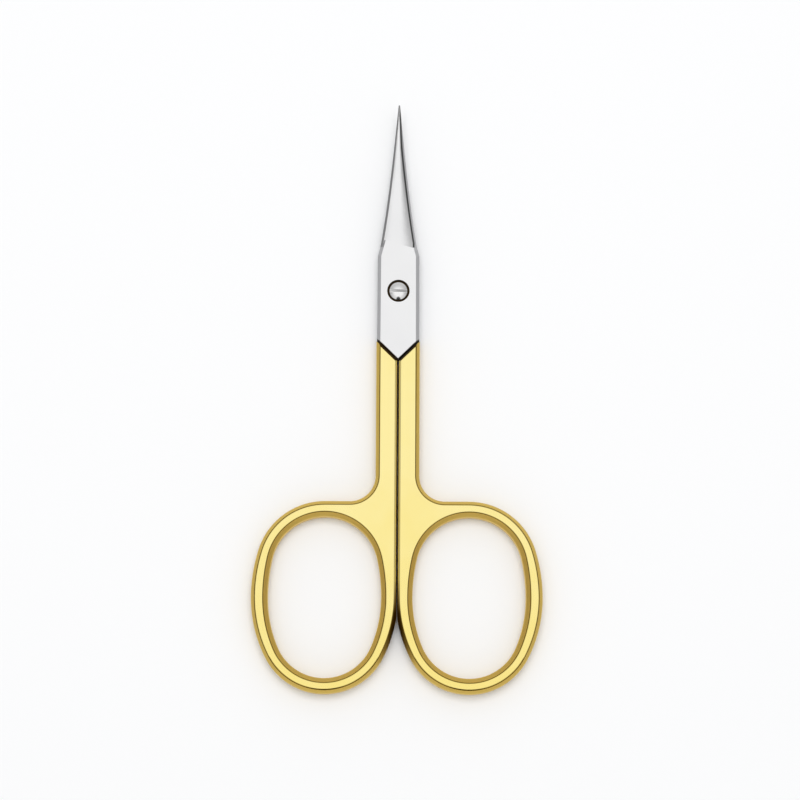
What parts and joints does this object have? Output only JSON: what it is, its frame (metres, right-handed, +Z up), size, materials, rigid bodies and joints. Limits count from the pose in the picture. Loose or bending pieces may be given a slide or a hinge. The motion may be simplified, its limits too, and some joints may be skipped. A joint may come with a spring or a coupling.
{
  "type": "cuticle scissors",
  "caption": "Slim cuticle scissors: curved pointed steel blades crossing on a slotted pivot screw, with gold-plated shanks and oval finger rings.",
  "frame": {"origin": "middle of the closed outline, on the surface that the handles lie on", "axes": "+Y towards the blade tips, +Z up through the thickness, X across the finger rings"},
  "size_m": [0.0442, 0.0903, 0.0049],
  "materials": {
    "blade_steel": "stainless steel, fine satin polish",
    "gold_plating": "polished steel with bright gold plating",
    "screw_steel": "polished steel"
  },
  "bodies": {
    "lower_half": {"lower_blade": "blade_steel", "lower_handle": "gold_plating"},
    "upper_half": {"upper_blade": "blade_steel", "upper_handle": "gold_plating"},
    "screw": {"pivot_screw": "screw_steel"}
  },
  "joints": [
    {"name": "blade_swing", "type": "hinge", "parent": "lower_half", "child": "upper_half", "pos_m": [0, 0.01645, 0.0018], "axis": [0, 0, -1], "range_deg": [0, 90]},
    {"name": "screw_turn", "type": "hinge", "parent": "lower_half", "child": "screw", "pos_m": [0, 0.01645, 0.0018], "axis": [0, 0, 1], "range_deg": [-90, 90]}
  ]
}
